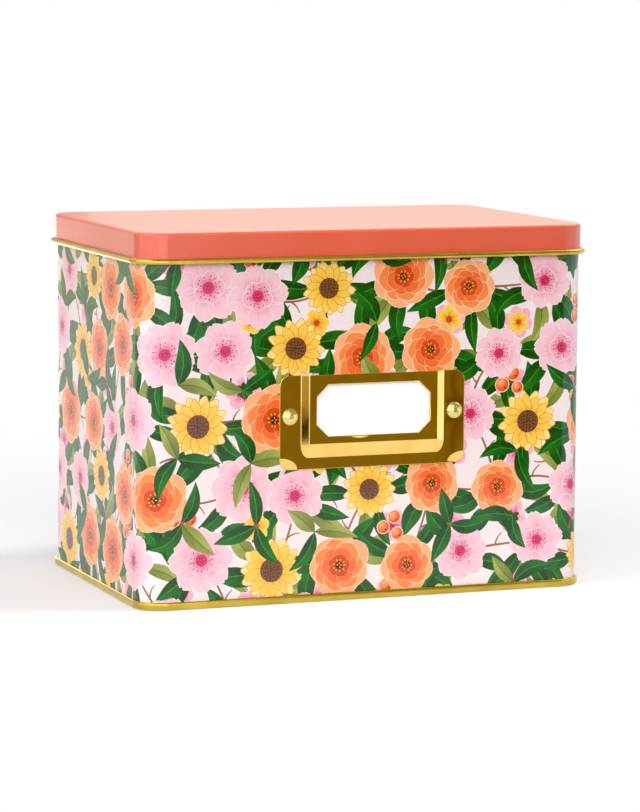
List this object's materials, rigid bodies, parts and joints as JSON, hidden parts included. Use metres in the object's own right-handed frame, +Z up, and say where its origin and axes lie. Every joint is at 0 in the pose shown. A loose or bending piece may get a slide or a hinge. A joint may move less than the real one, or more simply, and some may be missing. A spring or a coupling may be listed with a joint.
{
  "type": "index card tin",
  "caption": "Rectangular tinplate box for index cards, with rounded corners, a slip-on lid, rolled gold rims and a riveted brass label holder.",
  "frame": {"origin": "on the ground under the middle of the tin", "axes": "+X along the tin's width, to the right as seen from in front; -Y out of the front with the label holder; +Z up"},
  "size_m": [0.1694, 0.114, 0.1295],
  "materials": {
    "body_print": "glossy printed tinplate, gold lacquer inside",
    "gold_lacquer": "glossy gold lacquer on tinplate",
    "lid_enamel": "satin coral enamel on tinplate, gold lacquer inside",
    "brass": "polished and clear lacquered",
    "rivet_brass": "polished",
    "label_paper": "smooth uncoated card"
  },
  "bodies": {
    "tin": {"body_wall": "body_print", "base_pan": "gold_lacquer", "label_frame": "brass", "label_rivets": "rivet_brass"},
    "lid": {"lid": "lid_enamel"},
    "label_card": {"label_card": "label_paper"}
  },
  "joints": [
    {"name": "lid_lift", "type": "slide", "parent": "tin", "child": "lid", "axis": [0, 0, 1], "range_m": [0, 0.12]},
    {"name": "label_card_slide", "type": "slide", "parent": "tin", "child": "label_card", "axis": [0, 0, 1], "range_m": [0, 0.028]}
  ]
}
